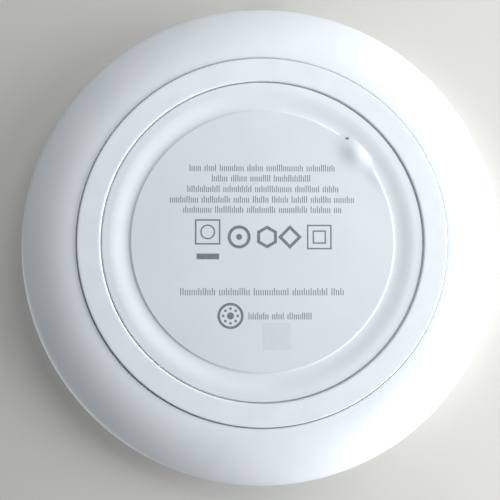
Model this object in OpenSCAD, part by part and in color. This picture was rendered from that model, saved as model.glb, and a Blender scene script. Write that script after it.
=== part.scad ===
// Round wireless charging pad, in millimetres.
// A silicone-skinned housing is closed from below by a round cover, which carries a silicone
// foot ring and a rating label. Inside are the charging coil on its ferrite, a heat plate,
// and the circuit board with its port and status light.
// Frame: +Z up through the charging face, origin on the table under the centre of the pad.
// The port faces -Y.

/* [Body] */
// Outer diameter of the pad
pad_d = 99; // [94:1:125]
// Height from the table to the charging face
pad_h = 10.8; // [10.2:0.1:14]
// Radius between the charging face and the widest line of the rim
top_round = 3.2; // [2.6:0.1:3.8]
// Radius of the tight curve just below the widest line
low_round = 4.0; // [3.2:0.1:5]
// Diameter of the opening underneath, which the base cover closes
opening_d = 74.6; // [72:0.2:80]
// Thickness of the silicone skin
skin_t = 0.8; // [0.6:0.1:1]
// Wall of the housing inside the skin
wall_t = 1.2; // [1:0.1:1.5]

/* [Base] */
// Gap all round between the base cover and the opening
cover_gap = 0.2; // [0.1:0.05:0.4]
// Thickness of the cover where the foot ring seats on it
cover_t = 1.6; // [1.4:0.1:2]
// How far the foot ring stands below the edge of the skin
foot_h = 0.5; // [0.3:0.1:0.8]
// Thickness of the foot ring
foot_t = 0.9; // [0.7:0.1:1.2]
// Width of the foot ring
foot_w = 4.7; // [4.4:0.1:5.6]
// Radius on the foot ring's edges
foot_round = 0.3; // [0.1:0.05:0.4]
// Adhesive tape under the foot ring
foot_tape_t = 0.1; // [0.05:0.05:0.2]
// Gap between the foot ring and the ledge inside it
ledge_gap = 0.3; // [0.2:0.05:0.5]
// How much higher than the table the ledge is
ledge_z = 0.35; // [0.2:0.05:0.7]
// Width of the flat ledge
ledge_w = 1.2; // [0.8:0.1:1.8]
// Depth of the dish inside the ledge
dish_depth = 0.6; // [0.4:0.05:1]
// Width of the dish's sloping side
dish_w = 4.2; // [2.4:0.1:4.4]
// Width of the rounded shoulder between the dish and the label's plateau
shoulder_w = 0.3; // [0.2:0.05:1.4]
// Height of that shoulder
shoulder_h = 0.15; // [0.1:0.05:0.4]
// Thickness of the rating label
label_t = 0.15; // [0.1:0.05:0.25]
// Bare edge of the plateau around the label
label_gap = 0.1; // [0.05:0.05:0.3]

/* [Fasteners] */
// Thread diameter of the screws that hold the base cover
base_screw_d = 2; // [1.6:0.1:2.4]
// Length of those screws under the cover's outer face
base_screw_l = 6; // [5:0.5:7]
// Head diameter of those countersunk screws
base_head_d = 3.8; // [3.2:0.1:4.2]
// Head height of those countersunk screws
base_head_h = 1.1; // [0.8:0.1:1.2]
// Wall of the bosses around those screws
boss_wall = 1.4; // [1.2:0.1:1.6]
// Thread diameter of the screws that hold the circuit board
board_screw_d = 1.6; // [1.4:0.1:2]
// Length of those screws under the head
board_screw_l = 3.4; // [3:0.1:3.8]
// Head diameter of those pan-head screws
board_head_d = 2.8; // [2.4:0.1:3]
// Head height of those pan-head screws
board_head_h = 0.8; // [0.6:0.1:1]

/* [Coil] */
// Turns of the charging coil
coil_turns = 10; // [8:1:11]
// Diameter of the coil's stranded wire
wire_d = 1.05; // [0.9:0.05:1.2]
// Gap between neighbouring turns
wire_gap = 0.05; // [0.02:0.01:0.1]
// Diameter of the free space inside the coil
coil_bore = 19.5; // [16:0.5:22]
// Adhesive tape between the coil and the housing
coil_tape_t = 0.1; // [0.05:0.05:0.2]
// Diameter of the two leads from the coil to the board
lead_d = 0.9; // [0.7:0.05:0.9]
// Thickness of the ferrite disc
ferrite_t = 1.0; // [0.95:0.05:1.2]
// Thickness of the aluminium heat plate
plate_t = 0.5; // [0.3:0.1:0.8]
// Thickness of the thermal pad between the heat plate and the board
gap_pad_t = 0.35; // [0.25:0.05:0.6]
// Side of that square pad
gap_pad_w = 26; // [20:1:30]

/* [Board] */
// Thickness of the circuit board
board_t = 1.0; // [0.8:0.1:1.2]
// Width of the board's tab towards the port
tab_w = 28; // [26:1:30]

/* [Port] */
// Width of the port's metal shell
port_w = 8.94; // [8.94:0.01:8.94]
// Height of the port's metal shell
port_h = 3.16; // [3.16:0.01:3.16]
// Length of the port's metal shell
port_l = 9.3; // [8.6:0.1:10]
// Sheet thickness of that shell
port_sheet = 0.3; // [0.25:0.05:0.3]
// How far the port's mouth lies behind the outermost point of the skin
port_recess = 0.9; // [0.6:0.1:1.2]
// Gap between the port's shell and the hole that it looks out of
port_gap = 0.1; // [0.1:0.05:0.2]
// How far the port's shell stands above the board on its legs
port_lift = 0.3; // [0.2:0.05:0.4]

/* [Light] */
// Angle between the port and the status light, about Z
light_angle = 16; // [14:1:18]
// Diameter of the light guide
guide_d = 1.0; // [0.8:0.1:1.2]

/* [Hidden] */

cut = 1;         // how far a cutting shape runs past the face that it cuts
bite = 0.5;      // how far a boss or rib runs into the wall that it grows from
touch = 0.02;    // running gap between a screw and its boss, or a lead and its neighbour
curve_steps = 8; // straight stretches in each half of the dish's curve

// Outer profile of the body: three arcs that run into each other, from the opening to the top.
// The wide arc underneath is a hair tighter than one that just touches the next, so that the
// two cross in one clean line.
pad_r = pad_d / 2;
opening_r = opening_d / 2;
rim_z = pad_h - top_round;
under_run = pad_r - low_round - opening_r;
under_rise = rim_z - foot_h;
under_round = (pow(under_run, 2) + pow(under_rise, 2) - pow(low_round, 2))
    / (2 * (under_rise - low_round)) - 0.03;
under_centre = [opening_r, foot_h + under_round];
low_centre = [pad_r - low_round, rim_z];
top_centre = [pad_r - top_round, rim_z];
blend_angle = atan2(under_run, under_round - under_rise) - 90;
shell_t = skin_t + wall_t;

// Levels, from the charging face down
ceiling_z = pad_h - shell_t;
coil_z = ceiling_z - coil_tape_t - wire_d / 2;
ferrite_z = coil_z - wire_d / 2 - ferrite_t;
plate_z = ferrite_z - plate_t;
board_top = plate_z - gap_pad_t;
board_z = board_top - board_t;
port_z = board_top + port_lift + port_h / 2;

// Base, from the table up
seat_z = foot_t + foot_tape_t;
cover_top = seat_z + cover_t;
cover_r = opening_r - cover_gap;
foot_in_r = cover_r - foot_w;
ledge_r = foot_in_r - ledge_gap;
dish_r = ledge_r - ledge_w;
valley_r = dish_r - dish_w;
valley_z = ledge_z + dish_depth;
plateau_r = valley_r - shoulder_w;
plateau_z = valley_z - shoulder_h;
label_r = plateau_r - label_gap;

// Bosses and screws
boss_circle = cover_r - foot_w / 2;
boss_r = base_screw_d / 2 + boss_wall;
boss_angles = [45, 135, 225, 315];
rim_w = 1;
rim_h = 1;
rim_gap = 0.4;

// Coil and what is stacked under it
pitch = wire_d + wire_gap;
first_r = coil_bore / 2 + wire_d / 2 + pitch / 4;
coil_r = first_r + (2 * coil_turns - 1) * pitch / 2 + pitch / 4 + wire_d / 2;
fence_gap = 0.2;
fence_w = 0.8;
fence_h = 0.8;
fence_r = coil_r + fence_gap;
stack_r = fence_r + fence_w + 1.5;
bead_r = 0.8;
bead_lead_r = 0.15;
bead_hole_r = bead_r + 1.2;
coil_start = first_r - pitch / 4;
coil_end = coil_r - wire_d / 2;
lead_angle = 90;
lead_side = lead_d / 2 + touch;
inner_pad_r = stack_r + 1.5;
outer_pad_r = inner_pad_r + 2.2;
slot_z = ferrite_z + ferrite_t / 2;

// Board
board_gap = 0.5;
board_wall_gap = 0.8;
board_r = boss_circle - boss_r - board_gap;
board_boss_r = 2;
board_boss_circle = stack_r + board_boss_r + 0.5;
board_boss_angles = [0, 120, 240];
board_hole_gap = 0.1;
nose_w = 16;
tab_front = front_of(tab_w / 2);
nose_front = front_of(nose_w / 2);

// Port
port_front = pad_r - port_recess;
port_back = port_front - port_l;
leg_w = 1.1;
leg_t = 0.25;
leg_l = 1.6;
leg_gap = 0.15;
leg_tab_z = port_z - port_h / 4;
leg_x = port_w / 2 + 0.9;
leg_ys = [port_back + 1, port_back + 2.9];
tongue_w = 6.69;
tongue_t = 0.7;
tongue_l = 4.45;
tongue_behind = 1.4;
block_l = port_l - tongue_l - tongue_behind;
contact_n = 12;
contact_pitch = 0.5;
contact_w = 0.25;
contact_t = 0.06;
contact_l = 3.6;
tail_l = 0.9;
tail_t = 0.15;

// Light
led_size = [1.0, 1.6, 1.2];
led_r = (tab_front - 1) / cos(light_angle);
guide_z = board_top + led_size[2] / 2;
guide_start = led_r + led_size[0] / 2;

// Radius of the body at height z, with a wall of thickness inset taken off
function body_r(z, inset) =
    z < under_centre[1] + (under_round - inset) * sin(blend_angle)
        ? opening_r + sqrt(pow(under_round - inset, 2) - pow(under_centre[1] - z, 2))
    : z < rim_z ? low_centre[0] + sqrt(pow(low_round - inset, 2) - pow(rim_z - z, 2))
    : top_centre[0] + sqrt(pow(top_round - inset, 2) - pow(z - rim_z, 2));

// How far forward the board reaches at half width x, clear of the housing's slanting wall
function front_of(x) =
    sqrt(pow(body_r(board_z, shell_t) - board_wall_gap, 2) - pow(x, 2));

function on_arc(c, r, a) = c + r * [cos(a), sin(a)];

// A quarter or half wave between two points of a profile: flat at both ends
function wave(p, q) =
    [for (i = [0 : 2 * curve_steps])
        let (s = i / (2 * curve_steps))
        [p[0] + (q[0] - p[0]) * s, p[1] + (q[1] - p[1]) * (1 - cos(180 * s)) / 2]];

// Filled half profile of the body, with a wall of thickness inset taken off all round
module body_profile(inset) {
    low = foot_h + inset;
    high = pad_h - inset;
    // Inside the opening, and above the widest line
    translate([0, low]) square([opening_r, high - low]);
    translate([opening_r, rim_z]) square([top_centre[0] - opening_r, high - rim_z]);
    // The underside's wide arc, up to the line through its centre and the next arc's
    seam_end = on_arc(low_centre, 2 * low_round, blend_angle);
    intersection() {
        translate(under_centre) circle(under_round - inset, $fn = 128);
        polygon([[opening_r, 0], [opening_r, rim_z], low_centre, seam_end, [seam_end[0], 0]]);
    }
    // The tight arc below the widest line, and the one above it
    intersection() {
        translate(low_centre) circle(low_round - inset, $fn = 128);
        translate([opening_r, 0]) square([pad_r, rim_z]);
    }
    intersection() {
        translate(top_centre) circle(top_round - inset, $fn = 128);
        translate(top_centre) square(pad_h);
    }
}

// A shell of the body between two insets, open underneath
module body_shell(outside, inside) {
    rotate_extrude($fn = 180) difference() {
        body_profile(outside);
        body_profile(inside);
        square([opening_r, foot_h + inside + 0.1]);
    }
}

module ring(r_out, r_in, z, h) {
    translate([0, 0, z]) difference() {
        cylinder(h = h, r = r_out, $fn = 180);
        translate([0, 0, -cut]) cylinder(h = h + 2 * cut, r = r_in, $fn = 180);
    }
}

module disc(r, z, h) {
    translate([0, 0, z]) cylinder(h = h, r = r, $fn = 180);
}

module at_angles(angles, r) {
    for (a = angles) rotate([0, 0, a]) translate([r, 0, 0]) children();
}

// A slot shape with round ends, w wide and h high, centred
module slot_shape(w, h) {
    square([w - h, h], center = true);
    for (s = [-1, 1]) translate([s * (w - h) / 2, 0]) circle(h / 2, $fn = 48);
}

// A prism of the port's shape from y = -front back to y = -back
module port_prism(w, h, front, back) {
    translate([0, -back, port_z]) rotate([90, 0, 0]) linear_extrude(front - back) slot_shape(w, h);
}

// Way for the port through the skin and the housing, and the room behind it
module port_hole() {
    port_prism(port_w + 2 * port_gap, port_h + 2 * port_gap, pad_r + cut, port_back - port_gap);
}

// Rod from the status light outwards, or the hole for it
module guide_rod(from_r, to_r) {
    rotate([0, 0, light_angle - 90]) translate([from_r, 0, guide_z])
        rotate([0, 90, 0]) cylinder(h = to_r - from_r, d = guide_d, $fn = 48);
}

// Cross recess of a screw head, opening downwards at z = 0
module cross_recess(width, depth) {
    blade = 0.4;
    for (a = [0, 90]) rotate([0, 0, a])
        translate([-width / 2, -blade / 2, -cut]) cube([width, blade, depth + cut]);
}

// A chip, capacitor or resistor under the board
module under_board(size) {
    translate([-size[0] / 2, -size[1] / 2, board_z - size[2]]) cube(size);
}

// Ceramic chip part: a body between two end caps, which are a hair larger
module chip_part(size) {
    cap = size[0] / 5;
    skin = 0.03;
    under_board([size[0] - 2 * cap, size[1] - 2 * skin, size[2] - skin]);
    for (s = [-1, 1]) translate([s * (size[0] - cap) / 2, 0, 0])
        under_board([cap, size[1], size[2]]);
}

// Round wire in the plane through the Z axis, through points [r, z], its side at y = side
module wire(points, d, side) {
    sides = 10;
    n = len(points);
    function way(i) =
        let (v = points[min(i + 1, n - 1)] - points[max(i - 1, 0)]) v / norm(v);
    rings = [for (i = [0 : n - 1]) let (w = way(i)) for (k = [0 : sides - 1])
        let (a = 360 * k / sides, u = d / 2 * cos(a))
        [points[i][0] - u * w[1], side + d / 2 * sin(a), points[i][1] + u * w[0]]];
    walls = [for (i = [0 : n - 2], k = [0 : sides - 1])
        let (a = i * sides + k, b = i * sides + (k + 1) % sides)
        each [[a, a + sides, b], [b, a + sides, b + sides]]];
    ends = [
        [for (k = [0 : sides - 1]) k],
        [for (k = [sides - 1 : -1 : 0]) (n - 1) * sides + k]
    ];
    polyhedron(rings, concat(walls, ends), convexity = 4);
}

// Points [r, z] along a bend of radius r about centre c, after its first
function bend(c, r, a0, a1) = [for (i = [1 : 5]) on_arc(c, r, a0 + (a1 - a0) * i / 5)];

module silicone_skin() {
    color([0.93, 0.94, 0.95]) difference() {
        body_shell(0, skin_t);
        port_hole();
        guide_rod(pad_r - 10, pad_r + cut);
    }
}

module upper_housing() {
    color([0.90, 0.91, 0.92]) difference() {
        union() {
            body_shell(skin_t, shell_t);
            at_angles(boss_angles, boss_circle)
                disc(boss_r, cover_top, ceiling_z - cover_top + bite);
            at_angles(board_boss_angles, board_boss_circle)
                disc(board_boss_r, board_top, ceiling_z - board_top + bite);
            coil_fence();
        }
        at_angles(boss_angles, boss_circle)
            disc(base_screw_d / 2 + touch, cover_top - cut, base_screw_l + seat_z - cover_top + cut + 0.4);
        at_angles(board_boss_angles, board_boss_circle)
            disc(board_screw_d / 2 + touch, board_top - cut, board_screw_l - board_t + cut + 0.3);
        port_hole();
        guide_rod(pad_r - 10, pad_r + cut);
    }
}

// Low ring on the ceiling that keeps the coil centred, with a gap for the outer lead
module coil_fence() {
    gap_w = lead_d + 1;
    difference() {
        ring(fence_r + fence_w, fence_r, ceiling_z - fence_h, fence_h + bite);
        rotate([0, 0, lead_angle]) translate([fence_r - cut, lead_side - gap_w / 2, 0])
            cube([fence_w + 2 * cut, gap_w, pad_h]);
    }
}

module base_cover() {
    color([0.91, 0.93, 0.95]) {
        difference() {
            rotate_extrude($fn = 180) polygon(concat(
                [[0, cover_top], [0, plateau_z]],
                wave([plateau_r, plateau_z], [valley_r, valley_z]),
                wave([valley_r + touch, valley_z], [dish_r, ledge_z]),
                [[ledge_r, ledge_z], [ledge_r, seat_z], [cover_r, seat_z], [cover_r, cover_top]]
            ));
            at_angles(boss_angles, boss_circle) {
                disc(base_screw_d / 2 + touch, seat_z - cut, cover_t + 2 * cut);
                base_head();
            }
        }
        difference() {
            ring(cover_r - rim_gap, cover_r - rim_gap - rim_w, cover_top, rim_h);
            at_angles(boss_angles, boss_circle) disc(boss_r + rim_gap, cover_top - cut, rim_h + 2 * cut);
        }
    }
}

module base_head() {
    translate([0, 0, seat_z])
        cylinder(h = base_head_h, r1 = base_head_d / 2, r2 = base_screw_d / 2, $fn = 48);
}

module base_screws() {
    color([0.75, 0.76, 0.78]) at_angles(boss_angles, boss_circle) difference() {
        union() {
            base_head();
            disc(base_screw_d / 2, seat_z, base_screw_l);
        }
        translate([0, 0, seat_z]) cross_recess(base_head_d * 0.55, base_head_h * 0.55);
    }
}

module board_screws() {
    color([0.75, 0.76, 0.78]) at_angles(board_boss_angles, board_boss_circle) difference() {
        union() {
            disc(board_head_d / 2, board_z - board_head_h, board_head_h);
            disc(board_screw_d / 2, board_z - board_head_h, board_head_h + board_screw_l);
        }
        translate([0, 0, board_z - board_head_h]) cross_recess(board_head_d * 0.6, board_head_h * 0.6);
    }
}

// Flat ring with rounded lower edges
module foot_ring() {
    color([0.86, 0.88, 0.89]) rotate_extrude($fn = 180) {
        translate([foot_in_r, foot_round]) square([foot_w, foot_t - foot_round]);
        translate([foot_in_r + foot_round, 0]) square([foot_w - 2 * foot_round, foot_t]);
        for (r = [foot_in_r + foot_round, cover_r - foot_round])
            translate([r, foot_round]) circle(foot_round, $fn = 48);
    }
}

module foot_tape() {
    color([0.8, 0.8, 0.78]) ring(cover_r, foot_in_r, foot_t, foot_tape_t);
}

module rating_label() {
    color([0.85, 0.88, 0.90]) disc(label_r, plateau_z - label_t, label_t);
}

module coil_tape() {
    color([0.85, 0.83, 0.75]) ring(coil_r, coil_bore / 2, ceiling_z - coil_tape_t, coil_tape_t);
}

// A spiral of half turns, whose centres change sides so that each meets the next
module charging_coil() {
    color([0.72, 0.42, 0.24]) rotate([0, 0, lead_angle]) for (k = [0 : 2 * coil_turns - 1])
        translate([(k % 2 == 0 ? -1 : 1) * pitch / 4, 0, coil_z]) rotate([0, 0, 180 * (k % 2)])
            rotate_extrude(angle = 180, $fn = 128)
                translate([first_r + k * pitch / 2, 0]) circle(wire_d / 2, $fn = 24);
}

// The inner lead dips into the ferrite's slot and runs out under the turns; the outer one
// leaves through the fence. Both turn down to the board outside the stack.
module coil_leads() {
    inner_bend = (coil_z - slot_z) / 2;
    turn = 0.8;
    color([0.70, 0.45, 0.30]) rotate([0, 0, lead_angle]) {
        wire(concat(
            [[coil_start - inner_bend, coil_z]],
            bend([coil_start - inner_bend, slot_z + inner_bend], inner_bend, 90, 0),
            bend([coil_start + inner_bend, slot_z + inner_bend], inner_bend, 180, 270),
            [[inner_pad_r - turn, slot_z]],
            bend([inner_pad_r - turn, slot_z - turn], turn, 90, 0),
            [[inner_pad_r, board_top]]
        ), lead_d, -lead_side);
        wire(concat(
            [[coil_end - lead_d / 2, coil_z], [outer_pad_r - turn, coil_z]],
            bend([outer_pad_r - turn, coil_z - turn], turn, 90, 0),
            [[outer_pad_r, board_top]]
        ), lead_d, lead_side);
    }
}

module ferrite_disc() {
    slot_w = lead_d + 0.2;
    color([0.16, 0.16, 0.17]) difference() {
        ring(stack_r, bead_hole_r, ferrite_z, ferrite_t);
        rotate([0, 0, lead_angle])
            translate([coil_start - lead_d, -lead_side - slot_w / 2, ferrite_z - cut])
            cube([stack_r, slot_w, ferrite_t + 2 * cut]);
    }
}

module heat_plate() {
    color([0.80, 0.81, 0.83]) ring(stack_r, bead_hole_r, plate_z, plate_t);
}

module thermal_pad() {
    color([0.55, 0.62, 0.70]) difference() {
        translate([-gap_pad_w / 2, -gap_pad_w / 2, board_top]) cube([gap_pad_w, gap_pad_w, gap_pad_t]);
        disc(bead_hole_r, board_top - cut, gap_pad_t + 2 * cut);
    }
}

// Bead in the middle of the coil, against the ceiling, with two leads down to the board
module thermistor() {
    color([0.15, 0.15, 0.16]) {
        translate([0, 0, ceiling_z - bead_r]) sphere(bead_r, $fn = 48);
        for (s = [-1, 1]) translate([s * bead_r / 2, 0, 0])
            disc(bead_lead_r, board_top, ceiling_z - bead_r - board_top);
    }
}

module circuit_board() {
    color([0.10, 0.32, 0.20]) difference() {
        union() {
            disc(board_r, board_z, board_t);
            translate([-tab_w / 2, -tab_front, board_z]) cube([tab_w, tab_front - board_r / 2, board_t]);
            translate([-nose_w / 2, -nose_front, board_z]) cube([nose_w, nose_front - board_r / 2, board_t]);
        }
        at_angles(board_boss_angles, board_boss_circle)
            disc(board_screw_d / 2 + board_hole_gap, board_z - cut, board_t + 2 * cut);
        port_legs(leg_gap, board_z - cut, board_t + 2 * cut);
    }
}

// The shell's four legs, or the board's slots for them
module port_legs(gap, z, h) {
    for (s = [-1, 1], y = leg_ys)
        translate([s * leg_x - leg_t / 2 - gap, -y - leg_w / 2 - gap, z])
            cube([leg_t + 2 * gap, leg_w + 2 * gap, h]);
}

// The shell hangs on four tabs, each with a leg at its end
module port_shell() {
    color([0.78, 0.79, 0.80]) difference() {
        union() {
            port_prism(port_w, port_h, port_front, port_back);
            port_legs(0, board_top - leg_l, leg_l + leg_tab_z - board_top + leg_t);
            for (y = leg_ys) translate([-leg_x - leg_t / 2, -y - leg_w / 2, leg_tab_z])
                cube([2 * leg_x + leg_t, leg_w, leg_t]);
        }
        port_prism(port_w - 2 * port_sheet, port_h - 2 * port_sheet, port_front + cut, port_back - cut);
    }
}

module port_tongue() {
    inner_w = port_w - 2 * port_sheet;
    inner_h = port_h - 2 * port_sheet;
    color([0.12, 0.12, 0.13]) {
        port_prism(inner_w, inner_h, port_back + block_l, port_back);
        translate([-tongue_w / 2, -port_back - block_l - tongue_l, port_z - tongue_t / 2])
            cube([tongue_w, tongue_l, tongue_t]);
    }
}

// Two rows of contact strips on the tongue, and a row of bent solder tails behind the block
module port_contacts() {
    first = -(contact_n - 1) * contact_pitch / 2;
    front = port_back + block_l;
    color([0.85, 0.68, 0.30]) for (i = [0 : contact_n - 1]) {
        x = first + i * contact_pitch - contact_w / 2;
        translate([x, -front - contact_l, port_z + tongue_t / 2]) cube([contact_w, contact_l, contact_t]);
        translate([x, -front - contact_l, port_z - tongue_t / 2 - contact_t])
            cube([contact_w, contact_l, contact_t]);
        translate([x, -port_back, board_top]) {
            cube([contact_w, tail_l, tail_t]);
            cube([contact_w, tail_t, port_z - board_top - port_h / 4]);
        }
    }
}

module controller_chip() {
    color([0.12, 0.12, 0.13]) translate([0, 2, 0]) under_board([6, 6, 0.9]);
}

module bridge_transistors() {
    color([0.14, 0.14, 0.15]) for (x = [-14, -9], y = [8, 13]) translate([x, y, 0])
        under_board([3.3, 3.3, 0.8]);
}

module resonance_capacitors() {
    color([0.66, 0.52, 0.38]) for (x = [-6, 0, 6, 12]) translate([x, 20, 0]) rotate([0, 0, 90])
        chip_part([4.5, 3.2, 1.6]);
}

module filter_capacitors() {
    color([0.70, 0.58, 0.42]) {
        for (x = [-12, -8, 8, 12]) translate([x, -26, 0]) chip_part([2, 1.25, 0.9]);
        for (y = [-6, -3, 0, 3]) translate([-10, y, 0]) chip_part([2, 1.25, 0.9]);
    }
}

module chip_resistors() {
    color([0.10, 0.10, 0.11]) {
        for (x = [-6 : 3 : 6]) translate([x, -4.5, 0]) chip_part([1.6, 0.8, 0.45]);
        for (x = [-4.5 : 3 : 4.5]) translate([x, 9, 0]) chip_part([1.6, 0.8, 0.45]);
    }
}

module sense_resistor() {
    color([0.12, 0.12, 0.13]) translate([-17, 0, 0]) rotate([0, 0, 90]) chip_part([6.3, 3.2, 0.6]);
}

module power_inductor() {
    color([0.25, 0.25, 0.26]) translate([11, 3, 0]) under_board([5, 5, 1.8]);
}

module crystal() {
    color([0.80, 0.80, 0.78]) translate([11, -7, 0]) under_board([3.2, 2.5, 0.8]);
}

// Side-firing light at the board's front edge
module status_led() {
    color([0.95, 0.95, 0.90]) rotate([0, 0, light_angle - 90])
        translate([led_r - led_size[0] / 2, -led_size[1] / 2, board_top]) cube(led_size);
}

// Clear rod from the light to the outside, its end flush with the skin
module light_guide() {
    color([0.90, 0.93, 0.95, 0.5]) intersection() {
        guide_rod(guide_start, pad_r + cut);
        rotate_extrude($fn = 180) body_profile(0);
    }
}

silicone_skin();
upper_housing();
base_cover();
foot_ring();
foot_tape();
rating_label();
base_screws();
board_screws();
coil_tape();
charging_coil();
coil_leads();
ferrite_disc();
heat_plate();
thermal_pad();
thermistor();
circuit_board();
port_shell();
port_tongue();
port_contacts();
controller_chip();
bridge_transistors();
resonance_capacitors();
filter_capacitors();
chip_resistors();
sense_resistor();
power_inductor();
crystal();
status_led();
light_guide();
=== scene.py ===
import math

import bmesh
import bpy
import numpy as np
from mathutils import Matrix, Vector


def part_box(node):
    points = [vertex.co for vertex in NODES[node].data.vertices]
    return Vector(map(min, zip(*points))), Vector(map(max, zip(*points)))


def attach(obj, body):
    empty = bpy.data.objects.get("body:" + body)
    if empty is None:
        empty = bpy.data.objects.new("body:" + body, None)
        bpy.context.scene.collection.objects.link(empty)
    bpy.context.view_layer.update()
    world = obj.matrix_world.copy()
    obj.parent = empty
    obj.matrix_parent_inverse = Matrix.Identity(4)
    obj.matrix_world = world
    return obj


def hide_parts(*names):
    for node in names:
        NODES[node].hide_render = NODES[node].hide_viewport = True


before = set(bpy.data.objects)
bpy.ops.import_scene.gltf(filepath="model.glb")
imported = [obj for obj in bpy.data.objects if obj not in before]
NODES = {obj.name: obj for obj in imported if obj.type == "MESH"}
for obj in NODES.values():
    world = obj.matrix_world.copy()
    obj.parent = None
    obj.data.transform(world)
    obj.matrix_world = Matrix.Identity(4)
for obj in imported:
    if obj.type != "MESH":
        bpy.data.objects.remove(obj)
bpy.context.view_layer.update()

MM = 0.001

# ---------------------------------------------------------------- sizes
# Everything is in millimetres until a mesh is made. What a CAD box can say comes from it.


def box_mm(node):
    low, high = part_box(node)
    return np.array(low) / MM, np.array(high) / MM


skin_low, skin_high = box_mm("silicone_skin")
cover_low, cover_high = box_mm("base_cover")
label_low, label_high = box_mm("rating_label")
tape_low, tape_high = box_mm("foot_tape")
port_high = box_mm("port_shell")[1]
guide_low, guide_high = box_mm("light_guide")

pad_r = skin_high[0]
pad_h = skin_high[2]
skin_foot = skin_low[2]
skin_t = 0.8
top_round = 3.2
low_round = 4.0
opening_r = 37.3
lip_round = 0.35

cover_r = cover_high[0]
cover_top = 2.6
ledge_z = cover_low[2]
seat_z = tape_high[2]
plateau_z = label_high[2]
foot_w = 4.7
foot_t = tape_low[2]
foot_round = 0.3
ledge_gap = 0.3
ledge_w = 1.2
dish_w = 4.2
shoulder_w = 0.3
shoulder_h = 0.15
foot_in_r = cover_r - foot_w
ledge_r = foot_in_r - ledge_gap
dish_r = ledge_r - ledge_w
valley_r = dish_r - dish_w
valley_z = plateau_z + shoulder_h
plateau_r = valley_r - shoulder_w
boss_circle = cover_r - foot_w / 2
screw_r = 1.02
head_r = 1.9
head_h = 1.1

label_r = label_high[0]
label_face = label_low[2]
label_t = label_high[2] - label_low[2]

port_w = 8.94
port_h = 3.16
port_gap = 0.1
port_z = port_high[2] - port_h / 2
light_angle = math.radians(16)
guide_z = (guide_low[2] + guide_high[2]) / 2
guide_half = (guide_high[2] - guide_low[2]) / 2


# ---------------------------------------------------------------- profiles


def arc(centre, radius, start, end, count):
    """Points [r, z] along a circle's arc from start to end, in degrees."""
    a = np.radians(np.linspace(start, end, count))
    return np.stack([centre[0] + radius * np.cos(a), centre[1] + radius * np.sin(a)], 1)


def straight(start, end, count):
    """Points [r, z] evenly along a straight line."""
    return np.linspace(start, end, count)


def wave(start, end, count):
    """Points [r, z] from start to end, where z follows half a cosine wave, flat at both ends."""
    t = np.linspace(0, 1, count)
    r = start[0] + (end[0] - start[0]) * t
    z = start[1] + (end[1] - start[1]) * (1 - np.cos(np.pi * t)) / 2
    return np.stack([r, z], 1)


def joined(*runs):
    """One row of points from several runs, without the doubled points where they meet."""
    points = np.concatenate(runs)
    keep = np.ones(len(points), bool)
    keep[1:] = np.linalg.norm(np.diff(points, axis=0), axis=1) > 1e-4
    return points[keep]


# The body's side is three arcs that run into each other: the top rounding, the tight curve
# under the widest line, and the wide curve of the underside, flat where it meets the opening.
rim_z = pad_h - top_round
under_run = pad_r - low_round - opening_r
under_rise = rim_z - skin_foot
under_round = (under_run**2 + under_rise**2 - low_round**2) / (2 * (under_rise - low_round))
blend_angle = math.degrees(math.atan2(under_run, under_round - under_rise)) - 90
under_z = skin_foot + under_round
blend_z = under_z + under_round * math.sin(math.radians(blend_angle))


def body_side(inset):
    """The side's points from the top flat down to the opening, moved inwards by inset.

    Every inset gives the same number of points, at the same angles.
    """
    return joined(
        arc((pad_r - top_round, rim_z), top_round - inset, 90, 0, 15),
        arc((pad_r - low_round, rim_z), low_round - inset, 0, blend_angle, 11),
        arc((opening_r, under_z), under_round - inset, blend_angle, -90, 37),
    )


def body_radius(z, inset):
    """The body's radius at height z, moved inwards by inset."""
    under = opening_r + np.sqrt(np.maximum((under_round - inset) ** 2 - (under_z - z) ** 2, 0))
    low = pad_r - low_round + np.sqrt(np.maximum((low_round - inset) ** 2 - (rim_z - z) ** 2, 0))
    top = pad_r - top_round + np.sqrt(np.maximum((top_round - inset) ** 2 - (z - rim_z) ** 2, 0))
    blend = rim_z + (blend_z - rim_z) * (low_round - inset) / low_round
    return np.where(z < blend, under, np.where(z < rim_z, low, top))


# ---------------------------------------------------------------- meshes


def finish_mesh(name, points, faces, smooth_angle=30):
    """A new object from points in millimetres and faces.

    Points that coincide become one, which closes the poles, unused points go, and the faces
    are turned outwards.
    """
    mesh = bpy.data.meshes.new(name)
    mesh.from_pydata((np.asarray(points) * MM).tolist(), [], faces)
    bm = bmesh.new()
    bm.from_mesh(mesh)
    bmesh.ops.delete(bm, geom=[v for v in bm.verts if not v.link_faces], context="VERTS")
    bmesh.ops.remove_doubles(bm, verts=bm.verts, dist=1e-8)
    bmesh.ops.recalc_face_normals(bm, faces=bm.faces)
    bm.to_mesh(mesh)
    bm.free()
    mesh.shade_smooth()
    mesh.set_sharp_from_angle(angle=math.radians(smooth_angle))
    piece = bpy.data.objects.new(name, mesh)
    bpy.context.scene.collection.objects.link(piece)
    return piece


def around(profile, steps):
    """The profile carried round Z: entry (i, j) is point i at angle 2 pi j / steps."""
    a = 2 * np.pi * np.arange(steps) / steps
    r, z = profile[:, 0][:, None], profile[:, 1][:, None]
    return np.stack([r * np.cos(a), r * np.sin(a), z + 0 * a], 2)


def quads_between(index, wrap_rows=False):
    """Quads between neighbouring rows of a table of point numbers that closes on itself."""
    down = np.roll(index, -1, 0) if wrap_rows else index[1:]
    here = index if wrap_rows else index[:-1]
    return np.stack([here, np.roll(here, -1, 1), np.roll(down, -1, 1), down], 2)


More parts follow.
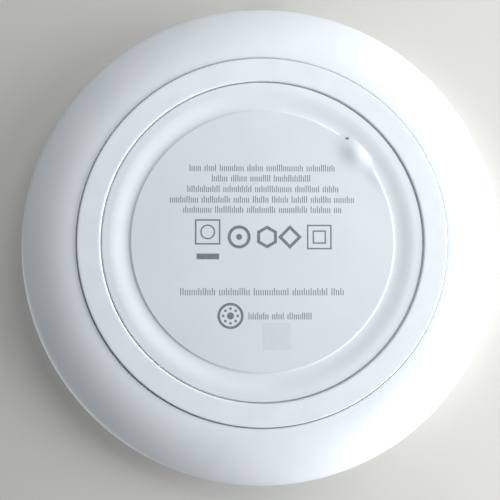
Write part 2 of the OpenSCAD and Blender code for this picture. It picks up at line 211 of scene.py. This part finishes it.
def window_edge(rows, steps):
    """(row, step) places round a rectangle of the table, as one loop."""
    (r0, r1), (s0, s1) = rows, steps
    way = 1 if r1 > r0 else -1
    n_r, n_s = abs(r1 - r0), s1 - s0
    row = np.concatenate([np.full(n_s, r0), np.arange(r0, r1, way),
                          np.full(n_s, r1), np.arange(r1, r0, -way)])
    step = np.concatenate([np.arange(s0, s1), np.full(n_r, s1),
                           np.arange(s1, s0, -1), np.full(n_r, s0)])
    return row, step


def turned(name, profile, steps, holes=(), closed=False, smooth_angle=30):
    """A solid turned about Z, with holes through it.

    The profile runs from the axis to the axis, or is closed. A hole takes a rectangle of
    the table out of two stretches of the profile, and rings of points lead from the edge of
    the first to the hole, through the wall, and out to the edge of the second.
    """
    table = around(profile, steps)
    index = np.arange(table.shape[0] * steps).reshape(-1, steps)
    quads = quads_between(index, closed)
    keep = np.ones(quads.shape[:2], bool)
    points, count, walls = [table.reshape(-1, 3)], index.size, []
    for near, far, across, rings_of in holes:
        loops = []
        for rows in (near, far):
            keep[min(rows):max(rows), np.arange(*across) % steps] = False
            row, step = window_edge(rows, across)
            loops.append(index[row, step % steps])
        rings = rings_of(points[0][loops[0]], points[0][loops[1]])
        numbers = count + np.arange(rings.shape[0] * rings.shape[1]).reshape(rings.shape[:2])
        ladder = np.concatenate([loops[0][None], numbers, loops[1][None]])
        walls += quads_between(ladder).reshape(-1, 4).tolist()
        points.append(rings.reshape(-1, 3))
        count += numbers.size
    faces = quads[keep].tolist() + walls
    return finish_mesh(name, np.concatenate(points), faces, smooth_angle)


def slot_reach(direction, half_flat, radius):
    """How far a slot's outline lies from its centre in each direction (an array of angles)."""
    c, s = np.abs(np.cos(direction)), np.abs(np.sin(direction))
    end = half_flat * c + np.sqrt(np.maximum(radius**2 - (half_flat * s) ** 2, 0))
    return np.where(radius * c <= half_flat * s, radius / np.maximum(s, 1e-9), end)


def side_hole(turn, centre_z, reach, lip, skin_out, skin_in):
    """Rings of a hole through the body's side at angle turn about Z.

    reach(direction, extra) is the outline's distance from the centre, made larger by extra.
    The rings run over the outer face, round a lip of radius lip, through the wall, and over
    the inner face.
    """
    radial = np.array([math.cos(turn), math.sin(turn)])
    tangent = np.array([-math.sin(turn), math.cos(turn)])

    def flat(points):
        return points[:, :2] @ tangent, points[:, 2] - centre_z

    def on_body(u, v, inset, depth=0.0):
        z = centre_z + v
        w = np.sqrt(body_radius(z, inset) ** 2 - u**2) - depth
        return np.column_stack([w[:, None] * radial + u[:, None] * tangent, z])

    def rings_of(near, far):
        nu, nv = flat(near)
        fu, fv = flat(far)
        way = np.arctan2(nv, nu)
        ou, ov = (reach(way, lip) * f(way) for f in (np.cos, np.sin))
        rings = [on_body(nu + (ou - nu) * t, nv + (ov - nv) * t, skin_out)
                 for t in (0.25, 0.5, 0.75)]
        for a in np.radians([0, 18, 36, 54, 72, 90]):
            size = reach(way, lip * (1 - math.sin(a)))
            depth = lip * (1 - math.cos(a))
            rings.append(on_body(size * np.cos(way), size * np.sin(way), skin_out, depth))
        size = reach(way, 0)
        iu, iv = size * np.cos(way), size * np.sin(way)
        rings += [on_body(iu + (fu - iu) * t, iv + (fv - iv) * t, skin_in) for t in (0, 0.5)]
        return np.array(rings)

    return rings_of


def screw_hole(turn, radius, low, high):
    """Rings of a countersunk hole through a flat wall from height low up to height high."""
    centre = radius * np.array([math.cos(turn), math.sin(turn)])

    def rings_of(near, far):
        way = np.arctan2(near[:, 1] - centre[1], near[:, 0] - centre[0])
        unit = np.column_stack([np.cos(way), np.sin(way)])

        def ring(size, z):
            return np.column_stack([centre + size * unit, np.full(len(way), z)])

        def toward(loop, inner, t):
            return inner + (loop - inner) * t

        mouth, back = ring(head_r, low), ring(screw_r, high)
        return np.array([toward(near, mouth, 0.5), mouth, ring(screw_r, low + head_h), back,
                         toward(far, back, 0.5)])

    return rings_of


# ---------------------------------------------------------------- finishes


def linear(colour, alpha=1.0):
    """An sRGB hex colour as the linear values that Blender takes."""
    parts = [int(colour[i:i + 2], 16) / 255 for i in (1, 3, 5)]
    return [p / 12.92 if p <= 0.04045 else ((p + 0.055) / 1.055) ** 2.4 for p in parts] + [alpha]


def per_mm(size):
    """A texture's scale, in repeats a metre, for features of that size in millimetres."""
    return 1 / (size * MM)


def add_node(tree, kind, inputs=None, **settings):
    """Adds a node, sets its properties, and fills or links its inputs by name or number."""
    made = tree.nodes.new(kind)
    for key, value in settings.items():
        setattr(made, key, value)
    for socket, value in (inputs or {}).items():
        if isinstance(value, bpy.types.NodeSocket):
            tree.links.new(value, made.inputs[socket])
        else:
            made.inputs[socket].default_value = value
    return made


def finish(name, light, dark, patch, rough, grain, depth, shader=None):
    """A material with a blotched colour, an uneven roughness and a fine grain.

    light and dark are the colours that patches of size patch run between; rough is the
    roughness's lowest and highest value; grain is the grain's size and depth its height,
    all lengths in millimetres. shader sets other sockets of the Principled shader.
    """
    material = bpy.data.materials.new(name)
    material.use_nodes = True
    tree = material.node_tree
    principled = tree.nodes["Principled BSDF"]
    place = add_node(tree, "ShaderNodeTexCoord").outputs["Object"]
    blotch = add_node(tree, "ShaderNodeTexNoise",
                      {"Vector": place, "Scale": per_mm(patch), "Detail": 3.0, "Roughness": 0.55})
    tint = add_node(tree, "ShaderNodeValToRGB", {0: blotch.outputs["Fac"]})
    tint.color_ramp.elements[0].position, tint.color_ramp.elements[0].color = 0.3, linear(dark)
    tint.color_ramp.elements[1].position, tint.color_ramp.elements[1].color = 0.7, linear(light)
    wear = add_node(tree, "ShaderNodeTexNoise",
                    {"Vector": place, "Scale": per_mm(patch * 0.4), "Detail": 5.0,
                     "Roughness": 0.6})
    gloss = add_node(tree, "ShaderNodeMapRange",
                     {"Value": wear.outputs["Fac"], "From Min": 0.3, "From Max": 0.7,
                      "To Min": rough[0], "To Max": rough[1]})
    grit = add_node(tree, "ShaderNodeTexNoise",
                    {"Vector": place, "Scale": per_mm(grain), "Detail": 2.0, "Roughness": 0.5})
    relief = add_node(tree, "ShaderNodeBump",
                      {"Height": grit.outputs["Fac"], "Distance": depth * MM, "Strength": 1.0})
    for socket, value in (("Base Color", tint.outputs["Color"]),
                          ("Roughness", gloss.outputs["Result"]),
                          ("Normal", relief.outputs["Normal"])):
        tree.links.new(value, principled.inputs[socket])
    for socket, value in (shader or {}).items():
        principled.inputs[socket].default_value = value
    return material


def painted(piece, material):
    """Gives a piece one material."""
    piece.data.materials.clear()
    piece.data.materials.append(material)
    return piece


# Cast liquid silicone, soft-touch coated: near-white, a broad soft gloss and a haze at the
# edges, with slightly shinier patches where it has been handled.
soft_silicone = finish("moulded_silicone_skin", "#f3f6f8", "#eef2f5", 9, (0.40, 0.50),
                       0.35, 0.0035,
                       {"IOR": 1.41, "Sheen Weight": 0.06, "Sheen Roughness": 0.5})
# The same silicone from a blasted mould, left uncoated so that it grips: flatter and cooler.
foot_silicone = finish("blasted_silicone_foot", "#f1f6f8", "#ebf0f3", 6, (0.62, 0.74), 0.30, 0.010,
                       {"IOR": 1.41})
# Injection-moulded PC/ABS from a finely textured mould: cooler and a little glossier.
base_plastic = finish("satin_moulded_abs", "#eef3f6", "#e8eef2", 12, (0.36, 0.46), 0.30, 0.003,
                      {"IOR": 1.53})
# Polyester label film with a matt top coat, pale grey.
label_film = finish("matt_polyester_film", "#e7ecf0", "#e1e7ec", 14, (0.46, 0.56), 0.45, 0.002,
                    {"IOR": 1.55})
# Screen-printed ink: a thin grey layer, broken up a little by the film's texture. The same
# grey also paints the dark speck of shade at the blister's nick.
ink_and_painted_shade = finish("screen_printed_ink_and_painted_shade", "#858c94", "#747b83", 0.8, (0.50, 0.60), 0.2, 0.001,
                   {"IOR": 1.5})
faint_ink = finish("faint_overprint_ink", "#dfe4e9", "#dbe0e6", 1.5, (0.48, 0.56), 0.2, 0.001,
                   {"IOR": 1.5})
# Stiff moulding inside: plain white PC/ABS.
housing_plastic = finish("moulded_housing_abs", "#e6e7e8", "#dfe1e3", 10, (0.45, 0.55), 0.4, 0.006,
                         {"IOR": 1.53})
# Acrylic adhesive film: yellowish and slightly shiny.
tape_film = finish("acrylic_adhesive_film", "#ddd6c0", "#d2cab2", 3, (0.25, 0.4), 0.5, 0.004)
# Zinc-plated steel: bright, blue-grey, with a fine brushed unevenness.
zinc_steel = finish("zinc_plated_steel", "#c9ccd0", "#b4b8be", 1.5, (0.25, 0.42), 0.12, 0.002,
                    {"Metallic": 1.0})
# Enamelled litz: copper seen through clear enamel, with the strands' fine ridges.
litz_copper = finish("enamelled_copper_strands", "#c9763f", "#a35a2c", 0.8, (0.25, 0.4),
                     0.15, 0.02,
                     {"Metallic": 0.7, "Coat Weight": 0.5, "Coat Roughness": 0.15})
# Sintered ferrite: dark grey ceramic with pores.
sintered_ferrite = finish("sintered_ferrite", "#3b3c40", "#2a2b2e", 2, (0.5, 0.65), 0.2, 0.01)
# Rolled aluminium sheet: bright with faint rolling unevenness.
rolled_aluminium = finish("rolled_aluminium", "#dcdee0", "#c9ccd0", 4, (0.3, 0.42), 0.3, 0.003,
                          {"Metallic": 1.0})
# Filled thermal silicone: blue-grey, dull and soft.
thermal_silicone = finish("filled_thermal_silicone", "#8794a6", "#76859a", 2, (0.7, 0.85),
                          0.4, 0.02)
# Epoxy-dipped bead: black and glossy.
dipped_epoxy = finish("dipped_epoxy", "#2b2b2e", "#1f1f22", 1, (0.15, 0.25), 0.3, 0.004)
# Solder mask over glass-epoxy: green, glossy, with the weave showing faintly.
solder_mask = finish("solder_mask_on_laminate", "#1f6a43", "#185637", 3, (0.25, 0.4), 0.6, 0.006)
# Deep-drawn steel, nickel-plated: bright and slightly warm.
nickel_steel = finish("nickel_plated_steel", "#d3d2ce", "#bebdb8", 2, (0.18, 0.32), 0.15, 0.0015,
                      {"Metallic": 1.0})
# Glass-filled LCP: black, matt, with fine flow marks.
black_lcp = finish("glass_filled_lcp", "#232326", "#1a1a1c", 1, (0.45, 0.6), 0.15, 0.004)
# Hard gold plating: yellow and bright.
gold_plate = finish("hard_gold_plating", "#e8bf62", "#d3a548", 0.6, (0.15, 0.28), 0.1, 0.001,
                    {"Metallic": 1.0})
# Transfer-moulded epoxy: charcoal and matt, with a sparkle of filler.
chip_epoxy = finish("moulded_chip_epoxy", "#35363a", "#2b2c2f", 1.5, (0.5, 0.65), 0.12, 0.006)
# Fired barium titanate: tan ceramic.
fired_ceramic = finish("fired_capacitor_ceramic", "#a98562", "#96734f", 1, (0.35, 0.5),
                       0.15, 0.005)
# Stamped lid of the crystal: dull silver.
stamped_lid = finish("stamped_crystal_lid", "#cfcfcb", "#bababa", 1, (0.3, 0.45), 0.2, 0.003,
                     {"Metallic": 1.0})
# White PPA package of the light.
led_package = finish("white_ppa_package", "#f0efe4", "#e4e3d6", 1, (0.35, 0.5), 0.2, 0.003)
# Clear polycarbonate light guide with a frosted end.
clear_guide = finish("frosted_polycarbonate", "#eef6f6", "#e4eeee", 1, (0.25, 0.4), 0.2, 0.004,
                     {"IOR": 1.585, "Transmission Weight": 0.85})

NODE_FINISH = {
    "upper_housing": housing_plastic,
    "foot_tape": tape_film,
    "coil_tape": tape_film,
    "base_screws": zinc_steel,
    "board_screws": zinc_steel,
    "charging_coil": litz_copper,
    "coil_leads": litz_copper,
    "ferrite_disc": sintered_ferrite,
    "heat_plate": rolled_aluminium,
    "thermal_pad": thermal_silicone,
    "thermistor": dipped_epoxy,
    "circuit_board": solder_mask,
    "port_shell": nickel_steel,
    "port_tongue": black_lcp,
    "port_contacts": gold_plate,
    "controller_chip": chip_epoxy,
    "bridge_transistors": chip_epoxy,
    "chip_resistors": chip_epoxy,
    "sense_resistor": chip_epoxy,
    "power_inductor": chip_epoxy,
    "resonance_capacitors": fired_ceramic,
    "filter_capacitors": fired_ceramic,
    "crystal": stamped_lid,
    "status_led": led_package,
    "light_guide": clear_guide,
}
for node_name, node_finish in NODE_FINISH.items():
    painted(NODES[node_name], node_finish)


def stands_for(piece, node, material):
    """The piece takes the CAD node's place: it gets the material and the root body, and the node
    is hidden.
    """
    painted(piece, material)
    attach(piece, "root")
    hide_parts(node)
    return piece


# ---------------------------------------------------------------- the pieces that show

STEPS = 360
DEGREE = STEPS // 360


def silicone_skin():
    """Outer face, lip at the opening and inner face in one profile, with the port's slot
    and the light guide's window cut through its side."""
    side, inner = body_side(0), body_side(skin_t)
    edge = (opening_r, skin_foot)
    lip = [(edge[0] + lip_round, edge[1]), (edge[0] + 0.3 * lip_round, edge[1] + 0.3 * lip_round),
           (edge[0], edge[1] + lip_round), (edge[0], edge[1] + skin_t)]
    top = straight((0, pad_h), (pad_r - top_round, pad_h), 7)
    ceiling = straight((pad_r - top_round, pad_h - skin_t), (0, pad_h - skin_t), 7)
    profile = joined(top, side[:-1], np.array(lip), inner[:-1][::-1], ceiling)
    first, last = len(top) - 1, len(profile) - len(ceiling)

    def rows(high, low):
        z = side[:, 1]
        a, b = (first + int(np.argmin(np.abs(z - level))) for level in (high, low))
        return (a, b), (last + first - a, last + first - b)

    def port_reach(way, extra):
        return slot_reach(way, (port_w - port_h) / 2, port_h / 2 + port_gap + extra)

    def guide_reach(way, extra):
        return guide_half + 0.02 + extra + 0 * way

    port_rows = rows(port_z + 2.75, port_z - 2.75)
    guide_rows = rows(guide_z + 1.3, guide_z - 1.3)
    port_turn = 270 * DEGREE
    guide_turn = port_turn + round(math.degrees(light_angle)) * DEGREE
    return turned("soft_skin", profile, STEPS, holes=[
        (*port_rows, (port_turn - 9 * DEGREE, port_turn + 9 * DEGREE),
         side_hole(-math.pi / 2, port_z, port_reach, 0.3, 0, skin_t)),
        (*guide_rows, (guide_turn - 2 * DEGREE, guide_turn + 2 * DEGREE),
         side_hole(light_angle - math.pi / 2, guide_z, guide_reach, 0.08, 0, skin_t)),
    ])


def base_cover():
    """Plateau, shoulder, dish and ledge in one profile, with four countersunk holes in the
    seat that the foot ring covers."""
    ease = 0.12
    seat = straight((ledge_r, seat_z), (cover_r, seat_z), 13)
    back = straight((cover_r, cover_top), (ledge_r, cover_top), 13)
    profile = joined(
        straight((0, plateau_z), (plateau_r, plateau_z), 8),
        wave((plateau_r, plateau_z), (valley_r, valley_z), 14),
        wave((valley_r, valley_z), (dish_r, ledge_z), 36),
        straight((dish_r, ledge_z), (ledge_r - ease, ledge_z), 4),
        arc((ledge_r - ease, ledge_z + ease), ease, -90, 0, 5),
        seat, back, straight((ledge_r, cover_top), (0, cover_top), 8))
    seat_row = int(np.argmin(np.linalg.norm(profile - seat[0], axis=1)))
    back_row = int(np.argmin(np.linalg.norm(profile - back[-1], axis=1)))
    holes = []
    for turn in (45, 135, 225, 315):
        near = (seat_row + 1, seat_row + 12)
        far = (back_row - 1, back_row - 12)
        across = ((turn - 5) * DEGREE, (turn + 5) * DEGREE)
        drilled = screw_hole(math.radians(turn), boss_circle, seat_z, cover_top)
        holes.append((near, far, across, drilled))
    return turned("round_base", profile, STEPS, holes)


def foot_ring():
    """A flat ring with rounded lower edges, as one closed profile."""
    ease = 0.1
    low = (foot_in_r + foot_round, foot_round)
    high = (cover_r - foot_round, foot_round)
    profile = joined(
        arc(low, foot_round, 180, 270, 7), straight((low[0], 0), (high[0], 0), 10),
        arc(high, foot_round, 270, 360, 7),
        straight((cover_r, foot_round), (cover_r, foot_t - ease), 3),
        straight((cover_r - ease, foot_t), (foot_in_r + ease, foot_t), 6),
        straight((foot_in_r, foot_t - ease), (foot_in_r, foot_round), 3)[:-1])
    return turned("grip_ring", profile, STEPS, closed=True)


# The label has come up at one place on its edge and stands there as a blister, drawn out
# towards the dish. Where its crease ends, a small dark speck of ink is painted shade: the
# shadow in the nick under the lifted film.
blister_at = math.radians(-43)
blister_r = 25.9
LABEL_STEPS = 480
shade_speck_at = (17.15, -20.75)


def label_lift(x, y):
    """How far the film stands off the base at (x, y), in millimetres.

    The sum of two smooth hills, each falling off as the exponential of minus the squared
    distances along and across the label's edge: a steep one, and a lower one beside it.
    """
    u = x * math.cos(blister_at) + y * math.sin(blister_at) - blister_r
    v = -x * math.sin(blister_at) + y * math.cos(blister_at)
    hill = np.exp(-((u / 2.1) ** 2) - (v / 2.9) ** 2)
    tail = np.exp(-((u / 1.4) ** 2) - ((v - 6.5) / 4.0) ** 2)
    return 0.72 * hill + 0.26 * tail


def label_edge(turn):
    """The film's radius at each angle: round, and drawn outwards about the blister.

    The extra falls off as the exponential of minus the fourth power of the angle from there.
    """
    away = (turn - blister_at + math.pi) % (2 * math.pi) - math.pi
    return label_r + 1.5 * np.exp(-((away / 0.16) ** 4))


def rating_label():
    """A round film carried out from its centre, its face and its back lifted alike.

    Its rings lie closer together towards the edge; the back keeps each third ring.
    """
    share = 1 - (1 - np.linspace(0, 1, 70)) ** 1.6
    turn = 2 * np.pi * np.arange(LABEL_STEPS) / LABEL_STEPS
    r = share[:, None] * label_edge(turn)
    x, y = r * np.cos(turn), r * np.sin(turn)
    lift = label_lift(x, y)
    face = np.stack([x, y, label_face - lift], 2)
    back = np.stack([x, y, label_face + label_t - lift], 2)[::-3]
    table = np.concatenate([face, back])
    index = np.arange(table.shape[0] * 480).reshape(-1, LABEL_STEPS)
    faces = quads_between(index).reshape(-1, 4).tolist()
    return finish_mesh("label_sheet", table.reshape(-1, 3), faces)


# ---------------------------------------------------------------- the label's print

ink_front = label_face - 0.012
ink_back = label_face + 0.02
rng = np.random.default_rng(11)


def prism_table(outer, inner=None):
    """Points and faces of a thin slab on the film, between two closed outlines or in one.

    outer and inner are arrays [n, 2]. Without inner, the outline shrinks to its middle.
    """
    if inner is None:
        middle = outer.mean(0)
        runs = [(0 * outer + middle, ink_front), (outer, ink_front),
                (outer, ink_back), (0 * outer + middle, ink_back)]
    else:
        runs = [(inner, ink_front), (outer, ink_front), (outer, ink_back), (inner, ink_back),
                (inner, ink_front)]
    points = np.stack([np.column_stack([o, z - label_lift(o[:, 0], o[:, 1])]) for o, z in runs])
    index = np.arange(points.shape[0] * points.shape[1]).reshape(points.shape[:2])
    return points.reshape(-1, 3), quads_between(index).reshape(-1, 4)


def polygon(sides, radius, centre, turn=0.0, squash=1.0):
    """Corners of a regular polygon, turned by that many degrees and squashed along Y.

    Many sides make a circle or an oval.
    """
    a = 2 * np.pi * np.arange(sides) / sides + math.radians(turn)
    return np.stack([centre[0] + radius * np.cos(a), centre[1] + squash * radius * np.sin(a)], 1)


def outline(sides, radius, line, centre, turn=0.0):
    """A polygon's outline of that line width."""
    thin = line / math.cos(math.pi / sides)
    return prism_table(polygon(sides, radius, centre, turn),
                       polygon(sides, radius - thin, centre, turn))


def bar(x, y, width, height):
    """A bar whose lower left corner as read is (x, y)."""
    right, top = x + width, y - height
    return prism_table(np.array([[x, y], [right, y], [right, top], [x, top]]))


def mark_line(width, base, size, middle=0.0):
    """A line of plain upright strokes in the place of print, in groups like words.

    The strokes are of two heights and never join, so that they are no letters. Their spacing
    is a share of their height, size.
    """
    stroke_w, pitch, gap, short = 0.16, 0.31, 0.40, 0.74
    made, x = [], middle - width / 2
    while x < middle + width / 2:
        for _ in range(2 * rng.integers(3, 10)):
            if x > middle + width / 2:
                break
            tall = size * rng.choice([1.0, short, short])
            made.append(bar(x, base, stroke_w, tall))
            x += pitch * size
        x += gap * size
    return made


def merged(name, slabs):
    """One piece from several slabs."""
    points, faces, count = [], [], 0
    for p, f in slabs:
        points.append(p)
        faces.append(f + count)
        count += len(p)
    return finish_mesh(name, np.concatenate(points), np.concatenate(faces).tolist())


def label_print():
    """Lines of strokes, a row of plain signs and a last line, laid out about the label's
    centre; y grows downwards as the label is read. A dark oval of ink at the blister's nick is
    painted shade."""
    slabs = []
    for width, base in ((29.4, -14.0), (20.4, -11.9), (30.2, -9.75), (37.2, -7.6), (31.8, -5.55)):
        slabs += mark_line(width, base, 1.35)
    slabs += mark_line(32.8, 11.0, 1.45) + mark_line(12.4, 15.8, 1.35, middle=3.4)
    slabs += [outline(4, 3.6, 0.3, (-11.0, -1.7), 45), outline(40, 1.5, 0.28, (-11.0, -1.7)),
              bar(-13.2, 3.8, 4.5, 1.15)]
    slabs += [outline(48, 2.3, 0.6, (-4.7, -0.7)), prism_table(polygon(24, 0.6, (-4.7, -0.7)))]
    slabs += [outline(6, 2.3, 0.6, (0.9, -0.7), 30), outline(4, 2.4, 0.6, (5.5, -0.7))]
    slabs += [outline(4, 3.5, 0.28, (11.4, -0.7), 45), outline(4, 1.9, 0.28, (11.4, -0.7), 45)]
    disc = (-6.4, 15.1)
    slabs += [outline(40, 2.6, 0.5, disc), prism_table(polygon(24, 0.7, disc))]
    for turn in range(0, 360, 45):
        a = math.radians(turn)
        spot = (disc[0] + 1.45 * math.cos(a), disc[1] + 1.45 * math.sin(a))
        slabs.append(prism_table(polygon(12, 0.27, spot)))
    # A dark oval of ink at the blister's nick: painted shade where the lifted film shadows the
    # base.
    slabs.append(prism_table(polygon(20, 0.42, shade_speck_at, squash=0.62)))
    return merged("label_marks", slabs)


def label_patch():
    """A faint square of overprint near the label's lower edge."""
    return merged("label_patch", [bar(0.1, 21.9, 5.6, 5.4)])


stands_for(silicone_skin(), "silicone_skin", soft_silicone)
stands_for(base_cover(), "base_cover", base_plastic)
stands_for(foot_ring(), "foot_ring", foot_silicone)
stands_for(rating_label(), "rating_label", label_film)
for ink, material in ((label_print(), ink_and_painted_shade), (label_patch(), faint_ink)):
    painted(ink, material)
    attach(ink, "root")

# ---------------------------------------------------------------- stage, light and camera

scene = bpy.context.scene
scene.view_settings.view_transform = "Standard"


def one_sided_floor(name, height, facing, colour):
    """A large plain floor that shows only on the side it faces, and stops no light."""
    half = 3.0
    corners = [(-half, -half), (half, -half), (half, half), (-half, half)]
    if facing < 0:
        corners = corners[::-1]
    mesh = bpy.data.meshes.new(name)
    mesh.from_pydata([(x, y, height * MM) for x, y in corners], [], [(0, 1, 2, 3)])
    floor = bpy.data.objects.new(name, mesh)
    scene.collection.objects.link(floor)
    material = bpy.data.materials.new(name)
    material.use_nodes = True
    tree = material.node_tree
    tree.nodes.clear()
    side = add_node(tree, "ShaderNodeNewGeometry").outputs["Backfacing"]
    plain = add_node(tree, "ShaderNodeBsdfDiffuse", {"Color": linear(colour)})
    clear = add_node(tree, "ShaderNodeBsdfTransparent")
    mix = add_node(tree, "ShaderNodeMixShader",
                   {0: side, 1: plain.outputs[0], 2: clear.outputs[0]})
    add_node(tree, "ShaderNodeOutputMaterial", {"Surface": mix.outputs[0]})
    mesh.materials.append(material)
    floor.visible_shadow = False
    floor.visible_diffuse = False
    floor.visible_glossy = False
    floor.visible_transmission = False
    return floor


# The pad rests on its foot ring, and for the view from underneath its charging face lies
# against a second floor, as if the pad were turned over on a table.
one_sided_floor("floor_under", -0.02, 1, "#d6d3cd")
one_sided_floor("floor_over", pad_h + 0.02, -1, "#d6d3cd")


def lamp(name, turn, rise, away, side, power, colour):
    """A square area lamp that faces the pad's middle from a distance of away metres.

    turn is its angle about Z from +X and rise its angle above the horizontal, in degrees;
    side is its width in metres.
    """
    level = math.cos(math.radians(rise))
    toward = Vector((level * math.cos(math.radians(turn)), level * math.sin(math.radians(turn)),
                     math.sin(math.radians(rise))))
    data = bpy.data.lights.new(name, "AREA")
    data.shape = "SQUARE"
    data.size = side
    data.energy = power
    data.color = linear(colour)[:3]
    made = bpy.data.objects.new(name, data)
    made.location = Vector((0, 0, pad_h * MM / 2)) + away * toward
    made.rotation_euler = toward.to_track_quat("Z", "Y").to_euler()
    made.visible_camera = False
    scene.collection.objects.link(made)


# Low window light from the right of the main view, and a softer lamp straighter on
lamp("window", 0, -15, 0.40, 0.30, 1.42, "#fafdff")
lamp("window_low", 30, -10, 0.20, 0.16, 0.39, "#fafdff")
lamp("soft_under", -60, -45, 0.20, 0.16, 0.18, "#fafdff")
# Light for the views of the charging face
lamp("soft_over", -40, 50, 0.60, 0.40, 1.9, "#fafdff")
lamp("fill_over", 150, 40, 0.60, 0.50, 0.9, "#ffffff")

world = bpy.data.worlds.new("pale_room")
world.use_nodes = True
world.node_tree.nodes["Background"].inputs["Color"].default_value = linear("#e9eef2")
world.node_tree.nodes["Background"].inputs["Strength"].default_value = 0.33
scene.world = world

# The camera looks up at the underside from a fifth of a metre, tipped a few degrees.
camera_data = bpy.data.cameras.new("camera")
camera_data.sensor_width = 36.0
camera_data.lens = 67.6
camera_data.clip_start, camera_data.clip_end = 0.01, 20.0
camera = bpy.data.objects.new("camera", camera_data)
scene.collection.objects.link(camera)
scene.camera = camera
tip_side, tip_back = math.radians(1.2), math.radians(4.5)
aim = Vector((-2.38, 1.38, rim_z)) * MM
back = Vector((-math.tan(tip_side), math.tan(tip_back), -1)).normalized()
camera.location = aim + 0.195 * back
right = Vector((0, -1, 0)).cross(back).normalized()
camera.rotation_mode = "QUATERNION"
camera.rotation_quaternion = Matrix((right, back.cross(right), back)).transposed().to_quaternion()

bpy.context.view_layer.update()
